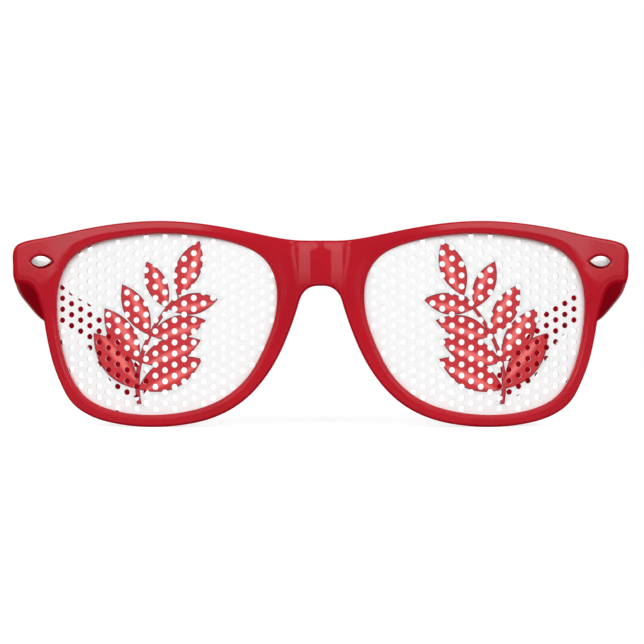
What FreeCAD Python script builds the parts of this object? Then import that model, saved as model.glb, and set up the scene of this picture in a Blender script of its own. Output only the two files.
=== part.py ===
import FreeCAD, Part
import math
import os

V = FreeCAD.Vector

# Retro trapezoid sunglasses with perforated sheet lenses. Millimetres.
# +Z is up, the front faces -Y, the temples run to +Y, and +X is the wearer's left.
# The origin is under the middle of the overall box, on the surface that the rims and temple tips rest on.

# Front, in the sizes that opticians use
lens_width = 52.1
lens_height = 41.9
lens_gap = 20.1
rim_width = 2.8
end_piece_reach = 11.3
end_piece_height = 10.0
end_piece_rise = 14.5
front_thickness = 4.2
front_curve_radius = 165.0
outer_round = 1.2
opening_front_round = 0.6
opening_back_round = 0.4

# Lens sheets
lens_sheet = 0.8
lens_setback = 1.5
groove_depth = 0.9
lens_edge_clearance = 0.1
lens_face_clearance = 0.04
hole_diameter = 1.38
hole_row_step = 2.575
hole_column_step = 2.25
hole_drop = 0.28
hole_margin = 0.5

# Moulded nose pads
nose_pad_length = 16.0
nose_pad_width = 3.4
nose_pad_depth = 5.4
nose_pad_splay = 0.6

# Studs in the end pieces
stud_length = 5.4
stud_width = 2.4
stud_rise = 0.35
stud_seat_depth = 0.7
stud_proud = 0.5
stud_pin_radius = 0.5
stud_pin_length = 3.0
stud_pin_spacing = 2.2
stud_clearance = 0.04

# Hinge lugs behind the end pieces
lug_depth = 5.4
lug_wall = 0.8
lug_drop = 1.0

# Hinges
knuckle_radius = 1.3
knuckle_offset = 1.5
knuckle_height = 2.3
outer_knuckle_height = 1.6
knuckle_gap = 0.1
hinge_drop = 1.0
leaf_thickness = 0.8
temple_leaf_height = 4.6
front_leaf_length = 4.0
temple_leaf_length = 7.0
leaf_web = 1.3
leaf_clearance = 0.05
hinge_screw_radius = 0.6
hinge_screw_head_radius = 1.0
hinge_screw_head_height = 0.5
hinge_bore_clearance = 0.04
leaf_screw_radius = 0.4
leaf_screw_length = 2.6
leaf_screw_head_radius = 0.75
leaf_screw_head_height = 0.3
leaf_screw_spacing = 2.5
leaf_screw_clearance = 0.03
slot_width = 0.25
slot_depth = 0.15

# Temples
overall_depth = 156.0
temple_rise = 42.4
temple_inset = 0.2
temple_butt_thickness = 5.0
temple_bend_thickness = 3.6
temple_tip_length = 48.0
temple_toe_in = 2.0
tip_curve_radius = 120.0
butt_clearance = 0.25
temple_edge_round = 0.75

# How far cutting shapes run past what they cut, and how closely edges are matched
overrun = 2.0
edge_match = 0.01

# How many outline points one edge spans
points_per_edge = 4

# Half outline of the front, from the middle of the bridge's top round to the middle of the nose arch.
# Bridge and nose points: across in half lens gaps, up in half front heights from the lens centre.
bridge_top_shares = [(0, 0.811), (0.65, 0.819)]
nose_shares = [(0.936, -0.257), (0.706, -0.024), (0.529, 0.199), (0.471, 0.268), (0.356, 0.335),
               (0.184, 0.373), (0, 0.382)]
# Brow and rim points: from the lens centre, in half sizes of lens and rim together.
brow_shares = [(-0.891, 0.843), (-0.605, 0.914), (-0.284, 0.979), (0.041, 1.007), (0.371, 0.988),
               (0.707, 0.930)]
rim_shares = [(1.064, 0.234), (1.028, 0.105), (1.001, -0.045), (0.968, -0.234), (0.925, -0.413),
              (0.864, -0.591), (0.770, -0.768), (0.629, -0.884), (0.407, -0.963), (0.117, -1),
              (-0.122, -0.971), (-0.364, -0.905), (-0.606, -0.758), (-0.766, -0.568)]
# End piece points: out from the lens's outer edge in reaches, up from its middle in half heights.
end_piece_shares = [(0.382, 1.166), (0.772, 1.004), (0.931, 0.81), (1, 0.48), (1, 0.074), (0.994, -0.404),
                    (0.962, -0.8), (0.88, -0.965), (0.749, -1.006), (0.613, -1.08), (0.512, -1.27)]

# Lens opening, from its centre in half widths and half heights
opening_shares = [(1, 0.242), (0.976, 0.467), (0.881, 0.705), (0.689, 0.873), (0.411, 0.958), (0.045, 1),
                  (-0.314, 0.972), (-0.671, 0.871), (-0.872, 0.733), (-0.973, 0.535), (-1, 0.27),
                  (-0.969, 0.017), (-0.898, -0.225), (-0.759, -0.545), (-0.493, -0.832), (-0.135, -0.973),
                  (0.175, -1), (0.503, -0.943), (0.73, -0.807), (0.878, -0.545), (0.973, -0.141)]

# Temple seen from the side, from the top of its butt round the tip to the bottom of its butt:
# back in temple lengths, up in temple rises
temple_side_shares = [(0, 1), (0.1, 0.927), (0.289, 0.792), (0.463, 0.729), (0.63, 0.675), (0.753, 0.566),
                      (0.862, 0.413), (0.965, 0.224), (1, 0.118), (0.985, 0.035), (0.942, 0),
                      (0.898, 0.024), (0.84, 0.118), (0.753, 0.271), (0.666, 0.389), (0.572, 0.467),
                      (0.427, 0.536), (0.274, 0.553), (0.158, 0.603), (0.071, 0.684), (0.022, 0.742),
                      (0, 0.788)]

# How much of the lens gap the flat middle of the front takes
bridge_flat_share = 0.8

# Where the nose pads and the stud sit, and how the pads taper towards the face
nose_pad_place_shares = (0.87, 0.0)
nose_pad_taper_shares = [(0, 1), (0.6, 0.9), (1, 0.5)]
stud_place_share = 0.327

# Places that follow from the sizes above
front_y = -overall_depth / 2
bridge_flat = lens_gap * bridge_flat_share
lens_x = lens_gap / 2 + lens_width / 2
lens_z = rim_width + lens_height / 2
lens_outer_x = lens_gap / 2 + lens_width
front_half_width = lens_outer_x + end_piece_reach
front_height = lens_height + 2 * rim_width
end_piece_z = lens_z + end_piece_rise
arc_y = front_y + front_curve_radius


def sagitta(x):
    """How far the front's face lies behind its foremost plane at x."""
    beyond = max(abs(x) - bridge_flat / 2, 0)
    return front_curve_radius - math.sqrt(front_curve_radius ** 2 - beyond ** 2)


def setback(point):
    """How far a point lies behind the front's curved face."""
    beyond = abs(point.x) - bridge_flat / 2
    if beyond <= 0:
        return point.y - front_y
    return front_curve_radius - math.hypot(beyond, point.y - arc_y)


end_y = front_y + sagitta(front_half_width)
lug_y = end_y + lug_depth
butt_y = lug_y + butt_clearance
temple_end_y = front_y + overall_depth
bend_y = temple_end_y - temple_tip_length
temple_outer_x = front_half_width - temple_inset
temple_inner_x = temple_outer_x - temple_butt_thickness
toe_in = math.radians(temple_toe_in)
bend_outer_x = temple_outer_x - math.tan(toe_in) * (bend_y - butt_y)
bend_inner_x = bend_outer_x - temple_bend_thickness
inner_toe_in = math.atan((temple_inner_x - bend_inner_x) / (bend_y - butt_y))
hinge_stand = knuckle_offset
hinge_y = lug_y + hinge_stand
hinge_x = (temple_inner_x - math.tan(inner_toe_in) * (hinge_y - butt_y)
           - knuckle_offset / math.cos(inner_toe_in))
hinge_z = end_piece_z - hinge_drop
stack_height = knuckle_height + 2 * (knuckle_gap + outer_knuckle_height)


def mirrored(shape):
    """The same piece on the other side of the nose."""
    return shape.mirror(V(0, 0, 0), V(1, 0, 0))


def box(x0, x1, y0, y1, z0, z1):
    return Part.makeBox(x1 - x0, y1 - y0, z1 - z0, V(x0, y0, z0))


def plan_band(depth, thickness):
    """A band on the front's curve, over the full height, its face this depth behind the front's face."""
    outer = front_curve_radius - depth
    inner = outer - thickness
    turn = math.asin((front_half_width + overrun - bridge_flat / 2) / inner)

    def arc(radius, side):
        centre = V(side * bridge_flat / 2, arc_y, 0)
        points = []
        for angle in (0, turn / 2, turn):
            points.append(centre + V(side * radius * math.sin(angle), -radius * math.cos(angle), 0))
        return points

    edges = []
    ends = {}
    for radius in (outer, inner):
        for side in (1, -1):
            points = arc(radius, side)
            edges.append(Part.Arc(*points).toShape())
            ends[radius, side] = points
        edges.append(Part.LineSegment(ends[radius, 1][0], ends[radius, -1][0]).toShape())
    for side in (1, -1):
        edges.append(Part.LineSegment(ends[outer, side][-1], ends[inner, side][-1]).toShape())
    wire = Part.Wire(Part.__sortEdges__(edges))
    wire.translate(V(0, 0, -overrun))
    return Part.Face(wire).extrude(V(0, 0, front_height + 2 * overrun))


def through(face):
    """A face in the plane ahead of the front, run back through its whole depth."""
    return face.extrude(V(0, lug_y - front_y + 2 * overrun, 0))


def front_points():
    half_gap = lens_gap / 2
    half_width = lens_width / 2 + rim_width
    half_height = lens_height / 2 + rim_width
    points = [(half_gap * across, lens_z + half_height * up) for across, up in bridge_top_shares]
    points += [(lens_x + half_width * across, lens_z + half_height * up) for across, up in brow_shares]
    points += [(lens_outer_x + end_piece_reach * across, end_piece_z + end_piece_height / 2 * up)
               for across, up in end_piece_shares]
    points += [(lens_x + half_width * across, lens_z + half_height * up) for across, up in rim_shares]
    points += [(half_gap * across, lens_z + half_height * up) for across, up in nose_shares]
    return points


def smooth_edges(points, closed):
    """A smooth curve through the points, in edges of a few points each."""
    curve = Part.BSplineCurve()
    curve.interpolate(Points=points, PeriodicFlag=closed)
    cuts = range(points_per_edge, len(points) - 1, points_per_edge)
    places = [curve.FirstParameter] + [curve.parameter(points[cut]) for cut in cuts] + [curve.LastParameter]
    return [curve.toShape(first, last) for first, last in zip(places, places[1:])]


def front_outline():
    half = front_points()
    other_half = [(-x, z) for x, z in reversed(half[1:-1])]
    points = [V(x, front_y - overrun, z) for x, z in half + other_half]
    return Part.Wire(smooth_edges(points, True))


def opening_outline(grow):
    """The left lens opening's outline, grown all round."""
    half_width = lens_width / 2 + grow
    half_height = lens_height / 2 + grow
    points = [V(lens_x + half_width * across, front_y - overrun, lens_z + half_height * up)
              for across, up in opening_shares]
    return Part.Wire(smooth_edges(points, True))


rim_middle_face = Part.Face(opening_outline(rim_width / 2))
lens_edge = opening_outline(groove_depth - lens_edge_clearance)
lens_face = Part.Face(lens_edge)


def edges_at(shape, depth):
    """The curved edges that lie on the face at this depth behind the front."""
    found = []
    for edge in shape.Edges:
        if edge.Curve.TypeId == "Part::GeomLine":
            continue
        middle = edge.valueAt((edge.FirstParameter + edge.LastParameter) / 2)
        points = [vertex.Point for vertex in edge.Vertexes] + [middle]
        if all(abs(setback(point) - depth) < edge_match for point in points):
            found.append(edge)
    return found


def beside_opening(edge):
    """Whether an edge runs round a lens opening rather than round the outside."""
    middle = edge.valueAt((edge.FirstParameter + edge.LastParameter) / 2)
    return rim_middle_face.isInside(V(abs(middle.x), front_y - overrun, middle.z), edge_match, True)


def hinge_lug():
    """The thick back of the left end piece that carries the hinge, cut square where the temple butts."""
    block = box(hinge_x - front_leaf_length - lug_wall, front_half_width + overrun, front_y, lug_y,
                end_piece_z - end_piece_height / 2 - lug_drop, front_height + overrun)
    return block.common(plan_band(front_thickness / 2, lug_y - front_y))


def front_plate():
    """The rims, bridge and end pieces, with their front edges rounded."""
    openings = [opening_outline(0), Part.Wire(mirrored(opening_outline(0)).Edges)]
    face = Part.Face([front_outline()] + openings, "Part::FaceMakerBullseye")
    band = plan_band(0, front_thickness).multiFuse([hinge_lug(), mirrored(hinge_lug())])
    plate = through(face).common(band)
    for depth, radius in ((0, opening_front_round), (front_thickness, opening_back_round)):
        plate = plate.makeFillet(radius, [edge for edge in edges_at(plate, depth) if beside_opening(edge)])
    return plate.makeFillet(outer_round, [edge for edge in edges_at(plate, 0) if not beside_opening(edge)])


def nose_pad():
    """The pad moulded on the back of the left rim, beside the nose."""
    place_across, place_up = nose_pad_place_shares
    centre = V(lens_gap / 2 * place_across, front_y + front_thickness / 2,
               lens_z + (lens_height / 2 + rim_width) * place_up)
    low, _, high = nose_shares[:3]
    along = V(lens_gap / 2 * (low[0] - high[0]), 0, (lens_height / 2 + rim_width) * (low[1] - high[1]))
    sections = []
    for back, size in nose_pad_taper_shares:
        middle = centre + V(nose_pad_splay * back, (front_thickness / 2 + nose_pad_depth) * back, 0)
        ellipse = Part.Ellipse(V(0, 0, 0), nose_pad_length / 2 * size, nose_pad_width / 2 * size)
        wire = Part.Wire([ellipse.toShape()])
        wire.rotate(V(0, 0, 0), V(1, 0, 0), 90)
        wire.rotate(V(0, 0, 0), V(0, 1, 0), math.degrees(math.atan2(-along.z, along.x)))
        wire.translate(middle)
        sections.append(wire)
    return Part.makeLoft(sections, True)


def lens_groove():
    band = plan_band(lens_setback - lens_face_clearance, lens_sheet + 2 * lens_face_clearance)
    return through(Part.Face(opening_outline(groove_depth))).common(band)


def hole_places():
    """Centres of the lens holes: every second column is shifted half a step, on to the sheet's edge."""
    reach = hole_diameter / 2 + hole_margin
    columns = math.ceil((lens_width / 2 + groove_depth) / hole_column_step)
    rows = math.ceil((lens_height / 2 + groove_depth) / hole_row_step)
    places = []
    for column in range(-columns, columns + 1):
        x = lens_x + hole_column_step * column
        shift = hole_row_step / 2 * (column % 2)
        for row in range(-rows, rows + 1):
            place = V(x, front_y - overrun, lens_z - hole_drop + hole_row_step * row + shift)
            clear = Part.Vertex(place).distToShape(lens_edge)[0] >= reach
            if clear and lens_face.isInside(place, edge_match, True):
                places.append(place)
    return places


def lens():
    """The left lens: a thin sheet on the front's curve, pierced all over."""
    wires = [lens_edge]
    for place in hole_places():
        wires.append(Part.Wire([Part.Circle(place, V(0, 1, 0), hole_diameter / 2).toShape()]))
    return through(Part.Face(wires, "Part::FaceMakerBullseye")).common(plan_band(lens_setback, lens_sheet))


def at_stud(shape):
    """Moves a shape from the stud's own frame, outward along -Y, to the left end piece's face."""
    x = lens_outer_x + end_piece_reach * stud_place_share
    turn = math.degrees(math.asin((x - bridge_flat / 2) / front_curve_radius))
    place = V(x, front_y + sagitta(x), end_piece_z + stud_rise)
    shape.Placement = FreeCAD.Placement(place, FreeCAD.Rotation(V(0, 0, 1), turn))
    return shape


def pointed_oval(grow, y0, y1):
    """A prism whose section is two arcs that meet in points."""
    half_length = stud_length / 2 + grow
    half_width = stud_width / 2 + grow
    tips = [V(-half_length, y0, 0), V(half_length, y0, 0)]
    edges = [Part.Arc(tips[0], V(0, y0, half_width * side), tips[1]).toShape() for side in (1, -1)]
    return Part.Face(Part.Wire(Part.__sortEdges__(edges))).extrude(V(0, y1 - y0, 0))


def stud_pins(radius, length):
    pins = []
    for side in (1, -1):
        foot = V(stud_pin_spacing / 2 * side, stud_seat_depth, 0)
        pins.append(Part.makeCylinder(radius, length, foot, V(0, 1, 0)))
    return pins


def stud():
    """The pointed oval stud on the left end piece, domed, with two pins pressed into the plastic."""
    dome_radius = ((stud_length / 2) ** 2 + stud_proud ** 2) / (2 * stud_proud)
    dome = Part.makeSphere(dome_radius, V(0, dome_radius - stud_proud, 0))
    head = pointed_oval(0, -stud_proud, stud_seat_depth).common(dome)
    return at_stud(head.multiFuse(stud_pins(stud_pin_radius, stud_pin_length)).removeSplitter())


def stud_seat():
    seat = pointed_oval(stud_clearance, -overrun, stud_seat_depth)
    pins = stud_pins(stud_pin_radius + stud_clearance, stud_pin_length + stud_clearance)
    return at_stud(seat.multiFuse(pins))


def at_front_leaf(shape):
    """Moves a shape from the hinge's own frame, axis on Z, to the left lug."""
    shape.Placement = FreeCAD.Placement(V(hinge_x, hinge_y, hinge_z), FreeCAD.Rotation())
    return shape


def at_temple_leaf(shape):
    """Moves a shape from the hinge's own frame to the left temple's inner face."""
    turn = FreeCAD.Rotation(V(0, 0, 1), math.degrees(inner_toe_in))
    shape.Placement = FreeCAD.Placement(V(hinge_x, hinge_y, hinge_z), turn)
    return shape


def front_leaf_plate(grow):
    return box(-front_leaf_length - grow, leaf_web / 2 + grow, -hinge_stand - leaf_thickness, -hinge_stand,
               -stack_height / 2 - grow, stack_height / 2 + grow)


def temple_leaf_plate(grow):
    half_height = temple_leaf_height / 2 + grow
    return box(knuckle_offset, knuckle_offset + leaf_thickness, -leaf_web / 2 - grow,
               temple_leaf_length + grow, -half_height, half_height)


def outer_knuckle_levels():
    """Bottom heights of the front leaf's two barrels."""
    top = knuckle_height / 2 + knuckle_gap
    return [top, -top - outer_knuckle_height]


def front_leaf():
    """The left front leaf: a plate in the lug with a barrel above and below the temple's."""
    pieces = []
    for level in outer_knuckle_levels():
        pieces.append(Part.makeCylinder(knuckle_radius, outer_knuckle_height, V(0, 0, level)))
        pieces.append(box(-leaf_web / 2, leaf_web / 2, -hinge_stand - leaf_thickness, 0,
                          level, level + outer_knuckle_height))
    leaf = front_leaf_plate(0).multiFuse(pieces)
    leaf = leaf.cut(Part.makeCylinder(hinge_screw_radius + hinge_bore_clearance, stack_height,
                                      V(0, 0, -stack_height / 2)))
    for hole in front_leaf_screw_shanks(leaf_screw_radius + leaf_screw_clearance):
        leaf = leaf.cut(hole)
    return at_front_leaf(leaf.removeSplitter())


def temple_leaf():
    """The left temple leaf: a plate in the temple's inner face with the middle barrel."""
    barrel = Part.makeCylinder(knuckle_radius, knuckle_height, V(0, 0, -knuckle_height / 2))
    web = box(0, knuckle_offset + leaf_thickness, -leaf_web / 2, leaf_web / 2,
              -knuckle_height / 2, knuckle_height / 2)
    leaf = temple_leaf_plate(0).multiFuse([barrel, web])
    leaf = leaf.cut(Part.makeCylinder(hinge_screw_radius + hinge_bore_clearance, knuckle_height,
                                      V(0, 0, -knuckle_height / 2)))
    for hole in temple_leaf_screw_shanks(leaf_screw_radius + leaf_screw_clearance):
        leaf = leaf.cut(hole)
    return at_temple_leaf(leaf.removeSplitter())


def hinge_screw():
    """The left hinge's pin: a shank through all barrels under a slotted head."""
    top = stack_height / 2
    shank = Part.makeCylinder(hinge_screw_radius, stack_height, V(0, 0, -top))
    head = Part.makeCylinder(hinge_screw_head_radius, hinge_screw_head_height, V(0, 0, top))
    crown = top + hinge_screw_head_height
    slot = box(-hinge_screw_head_radius - overrun, hinge_screw_head_radius + overrun, -slot_width / 2,
               slot_width / 2, crown - slot_depth, crown + overrun)
    return at_front_leaf(shank.fuse(head).cut(slot).removeSplitter())


def front_leaf_screw_places():
    across = -(front_leaf_length + leaf_web / 2) / 2
    return [V(across, -hinge_stand, side * leaf_screw_spacing / 2) for side in (1, -1)]


def temple_leaf_screw_places():
    middle = (knuckle_radius + temple_leaf_length) / 2
    return [V(knuckle_offset, middle + side * leaf_screw_spacing / 2, 0) for side in (1, -1)]


def front_leaf_screw_shanks(radius):
    return [Part.makeCylinder(radius, leaf_screw_length, place - V(0, leaf_screw_length, 0), V(0, 1, 0))
            for place in front_leaf_screw_places()]


def temple_leaf_screw_shanks(radius):
    return [Part.makeCylinder(radius, leaf_screw_length, place, V(1, 0, 0))
            for place in temple_leaf_screw_places()]


def front_leaf_screws():
    screws = []
    for place, shank in zip(front_leaf_screw_places(), front_leaf_screw_shanks(leaf_screw_radius)):
        head = Part.makeCylinder(leaf_screw_head_radius, leaf_screw_head_height, place, V(0, 1, 0))
        crown = place.y + leaf_screw_head_height
        slot = box(place.x - leaf_screw_head_radius - overrun, place.x + leaf_screw_head_radius + overrun,
                   crown - slot_depth, crown + overrun, place.z - slot_width / 2, place.z + slot_width / 2)
        screws.append(shank.fuse(head).cut(slot).removeSplitter())
    return at_front_leaf(Part.makeCompound(screws))


def temple_leaf_screws():
    screws = []
    for place, shank in zip(temple_leaf_screw_places(), temple_leaf_screw_shanks(leaf_screw_radius)):
        head = Part.makeCylinder(leaf_screw_head_radius, leaf_screw_head_height, place, V(-1, 0, 0))
        crown = place.x - leaf_screw_head_height
        slot = box(crown - overrun, crown + slot_depth, place.y - slot_width / 2, place.y + slot_width / 2,
                   place.z - leaf_screw_head_radius - overrun, place.z + leaf_screw_head_radius + overrun)
        screws.append(shank.fuse(head).cut(slot).removeSplitter())
    return at_temple_leaf(Part.makeCompound(screws))


def front_frame():
    """The whole front moulding with its grooves, seats and pockets."""
    half_cuts = [lens_groove(), stud_seat(), at_front_leaf(front_leaf_plate(leaf_clearance))]
    screw_holes = front_leaf_screw_shanks(leaf_screw_radius + leaf_screw_clearance)
    half_cuts += [at_front_leaf(hole) for hole in screw_holes]
    frame = front_plate().multiFuse([nose_pad(), mirrored(nose_pad())])
    return frame.cut(half_cuts + [mirrored(cut) for cut in half_cuts]).removeSplitter()


def temple_plan():
    """The left temple seen from above: straight, then an arc inwards at the ear."""
    far_y = temple_end_y + overrun

    def bend(x, turn):
        centre = V(x - tip_curve_radius * math.cos(turn), bend_y - tip_curve_radius * math.sin(turn), 0)
        last = math.asin((far_y - centre.y) / tip_curve_radius)
        return [centre + V(tip_curve_radius * math.cos(angle), tip_curve_radius * math.sin(angle), 0)
                for angle in (turn, (turn + last) / 2, last)]

    outer = bend(bend_outer_x, toe_in)
    inner = bend(bend_inner_x, inner_toe_in)
    butt = [V(temple_outer_x, butt_y, 0), V(temple_inner_x, butt_y, 0)]
    edges = [
        Part.LineSegment(butt[0], outer[0]).toShape(),
        Part.Arc(*outer).toShape(),
        Part.LineSegment(outer[-1], inner[-1]).toShape(),
        Part.Arc(*inner).toShape(),
        Part.LineSegment(inner[0], butt[1]).toShape(),
        Part.LineSegment(butt[1], butt[0]).toShape(),
    ]
    wire = Part.Wire(Part.__sortEdges__(edges))
    wire.translate(V(0, 0, -overrun))
    return Part.Face(wire).extrude(V(0, 0, temple_rise + 2 * overrun))


def temple_side():
    """The left temple seen from the side, run across the whole width of the plan."""
    length = temple_end_y - butt_y
    points = [V(0, butt_y + length * back, temple_rise * up) for back, up in temple_side_shares]
    wire = Part.Wire(smooth_edges(points, False) + [Part.LineSegment(points[-1], points[0]).toShape()])
    return Part.Face(wire).extrude(V(front_half_width + overrun, 0, 0))


def temple():
    body = temple_side().common(temple_plan())
    long_edges = [edge for edge in body.Edges if edge.BoundBox.YLength > temple_butt_thickness]
    body = body.makeFillet(temple_edge_round, long_edges)
    body = body.cut(at_temple_leaf(temple_leaf_plate(leaf_clearance)))
    for hole in temple_leaf_screw_shanks(leaf_screw_radius + leaf_screw_clearance):
        body = body.cut(at_temple_leaf(hole))
    return body


left_pieces = {
    "lens": lens(),
    "front_rivet": stud(),
    "front_hinge_leaf": front_leaf(),
    "temple_hinge_leaf": temple_leaf(),
    "hinge_screw": hinge_screw(),
    "front_leaf_screws": front_leaf_screws(),
    "temple_leaf_screws": temple_leaf_screws(),
    "temple": temple(),
}

os.makedirs("parts", exist_ok=True)
front_frame().exportStep("parts/front_frame.step")
for name, piece in left_pieces.items():
    piece.exportStep("parts/left_" + name + ".step")
    mirrored(piece).exportStep("parts/right_" + name + ".step")
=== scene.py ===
"""Red retro trapezoid sunglasses with perforated print lenses, dressed around their CAD frame."""

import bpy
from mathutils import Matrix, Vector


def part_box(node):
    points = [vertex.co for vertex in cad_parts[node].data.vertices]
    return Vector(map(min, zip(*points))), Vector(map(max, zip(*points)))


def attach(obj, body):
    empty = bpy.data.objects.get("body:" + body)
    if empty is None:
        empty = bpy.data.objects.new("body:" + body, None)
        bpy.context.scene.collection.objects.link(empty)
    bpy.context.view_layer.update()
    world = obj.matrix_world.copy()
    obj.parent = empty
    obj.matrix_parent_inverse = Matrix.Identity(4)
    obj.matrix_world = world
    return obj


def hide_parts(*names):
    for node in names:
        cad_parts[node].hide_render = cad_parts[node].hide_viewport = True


bl_info = {
    "name": "Print Lens Sunglasses",
    "version": (1, 0, 0),
    "blender": (4, 5, 0),
    "location": "View3D > Sidebar > Sunglasses",
    "description": "Builds trapezoid sunglasses with perforated print lenses around their CAD frame",
    "category": "Add Mesh",
}

import math
from functools import reduce

import bmesh
import bpy
import numpy as np
from bpy.props import FloatProperty, FloatVectorProperty, IntProperty, PointerProperty
from mathutils import Vector
from mathutils.kdtree import KDTree

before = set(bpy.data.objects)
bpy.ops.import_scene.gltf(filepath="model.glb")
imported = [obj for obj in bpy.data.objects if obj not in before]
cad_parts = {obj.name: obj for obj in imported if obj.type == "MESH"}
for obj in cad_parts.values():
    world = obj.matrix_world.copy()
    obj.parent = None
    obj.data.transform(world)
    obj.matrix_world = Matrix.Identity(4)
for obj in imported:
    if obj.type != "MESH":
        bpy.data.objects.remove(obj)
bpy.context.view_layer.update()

MM = 0.001
SIDES = {"left": 1, "right": -1}

front_low, front_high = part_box("front_frame")
temple_low, temple_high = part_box("left_temple")
stud_low, stud_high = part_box("left_front_rivet")

# Half outline of the front, from the middle of the bridge's top round to the middle of the nose arch.
# Bridge and nose points: across in half lens gaps, up in half front heights from the lens centre.
BRIDGE_TOP_SHARES = [(0, 0.811), (0.65, 0.819)]
NOSE_SHARES = [(0.911, -0.261), (0.682, -0.028), (0.506, 0.196), (0.453, 0.263), (0.346, 0.327),
               (0.181, 0.365), (0, 0.374)]
# Brow and rim points: from the lens centre, in half sizes of lens and rim together.
BROW_SHARES = [(-0.891, 0.843), (-0.605, 0.914), (-0.284, 0.979), (0.041, 1.007), (0.371, 0.988),
               (0.707, 0.930)]
RIM_SHARES = [(1.064, 0.234), (1.028, 0.105), (1.001, -0.045), (0.968, -0.234), (0.925, -0.413),
              (0.864, -0.591), (0.772, -0.770), (0.632, -0.890), (0.409, -0.970), (0.117, -1),
              (-0.123, -0.981), (-0.367, -0.916), (-0.610, -0.765), (-0.772, -0.575)]
# End piece points: out from the lens's outer edge in reaches, up from its middle in half heights.
END_PIECE_SHARES = [(0.382, 1.166), (0.772, 1.004), (0.931, 0.81), (1, 0.48), (1, 0.074), (0.994, -0.404),
                    (0.962, -0.8), (0.88, -0.965), (0.749, -1.006), (0.613, -1.08), (0.512, -1.27)]

# Lens opening, from its centre in half widths and half heights.
OPENING_SHARES = [(1, 0.242), (0.976, 0.467), (0.881, 0.705), (0.689, 0.873), (0.411, 0.958), (0.045, 1),
                  (-0.314, 0.972), (-0.671, 0.871), (-0.872, 0.733), (-0.973, 0.535), (-1, 0.27),
                  (-0.969, 0.017), (-0.898, -0.225), (-0.759, -0.545), (-0.493, -0.832), (-0.135, -0.973),
                  (0.175, -1), (0.503, -0.943), (0.73, -0.807), (0.878, -0.545), (0.973, -0.141)]

# Which outline point each stretch of the opening faces: counts along the outline and along the opening.
# The outline's last count runs up the middle of the bridge, back to its first point.
RUNG_PAIRS = [(0, 8.45), (1, 8.1), (2, 7.6), (3, 7), (5, 5), (7, 3), (8, 2.35), (9, 2), (11, 1.75),
              (13, 1.4), (15, 1.05), (17, 0.75), (18, 0.5), (19, 0.1), (21, -0.8), (23, -1.8), (25, -2.85),
              (28, -5), (31, -7.4), (33, -8.8), (35, -10.4), (37, -11), (39, -11.4), (40, -12.55)]
# Outline counts with finely spaced columns: the bridge's top, the end piece, the nose arch and the middle.
FINE_STRETCHES = [(0, 2), (8, 18), (36, 40)]
# Rounding along the outline, by count, as shares of the rims' rounding: crisp brow, soft end piece.
EDGE_ROUND_SHARES = [(0, 0.5), (7, 0.5), (9.5, 0.9), (11, 1.6), (13, 1.8), (15, 2.4), (18, 2.4), (19, 2.2),
                     (20, 1.8), (21, 1.3), (22.5, 1), (39, 1)]
BROW_END = 9

# Temple seen from the side, from the top of its butt round the tip to the bottom of its butt:
# back in temple lengths, up in temple rises.
TEMPLE_SIDE_SHARES = [(0, 1), (0.1, 0.927), (0.289, 0.792), (0.463, 0.729), (0.63, 0.675), (0.753, 0.566),
                      (0.862, 0.413), (0.965, 0.224), (1, 0.118), (0.985, 0.035), (0.942, 0),
                      (0.898, 0.024), (0.84, 0.118), (0.753, 0.271), (0.666, 0.389), (0.572, 0.467),
                      (0.427, 0.536), (0.274, 0.553), (0.158, 0.603), (0.071, 0.684), (0.022, 0.742),
                      (0, 0.788)]
# Which points of the temple's top and bottom face each other, up to where its round tip starts.
TEMPLE_PAIRS = [(0, 21), (0.25, 20), (1, 19), (2, 17), (3, 16), (4, 15), (5, 14), (6, 12.9), (7, 11.2),
                (7.5, 10.2), (7.8, 9.6)]
TIP_SHARES = [0.4, 0.6, 0.78, 0.9, 0.97, 1]


def length_property(name, description, millimetres):
    return FloatProperty(name=name, description=description, default=millimetres * MM, unit="LENGTH")


def angle_property(name, description, degrees):
    return FloatProperty(name=name, description=description, default=math.radians(degrees), subtype="ANGLE")


def colour_property(name, description, *channels):
    return FloatVectorProperty(name=name, description=description, default=channels, subtype="COLOR")


class FrontSizes(bpy.types.PropertyGroup):
    """Sizes of the front moulding."""
    lens_width: length_property("Lens Width", "Width of a lens opening", 52.1)
    lens_height: length_property("Lens Height", "Height of a lens opening", 41.9)
    lens_gap: length_property("Lens Gap", "Distance between the lens openings", 20.1)
    rim_width: length_property("Rim Width", "Width of the lower rim", 2.8)
    end_piece_height: length_property("End Piece Height", "Height of an end piece", 10)
    end_piece_rise: length_property("End Piece Rise", "Rise of an end piece's middle over the lens's", 14.5)
    thickness: length_property("Thickness", "Thickness of the rims", 4.2)
    curve_radius: length_property("Curve Radius", "Radius of the front seen from above", 165)
    outer_round: length_property("Outer Round", "Rounding of the rims' outside edges", 0.9)
    opening_round: length_property("Opening Round", "Rounding of the lens openings' edges", 0.3)
    lip_width: length_property("Lip Width", "Width of the sunk lip round a lens opening", 0.75)
    lip_depth: length_property("Lip Depth", "Depth of the sunk lip round a lens opening", 0.4)
    brow_lean: angle_property("Brow Lean", "How much the upper part of the brow leans back", 11)
    end_lean: angle_property("End Lean", "How much the end pieces lean back", 4.4)
    bridge_lean: angle_property("Bridge Lean", "How much the bridge leans back", 6)
    opening_lean: angle_property("Opening Lean", "How much the face slopes towards the lens openings", 8)
    stud_length: length_property("Stud Length", "Length of the stud in each end piece", 5.4)


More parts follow.
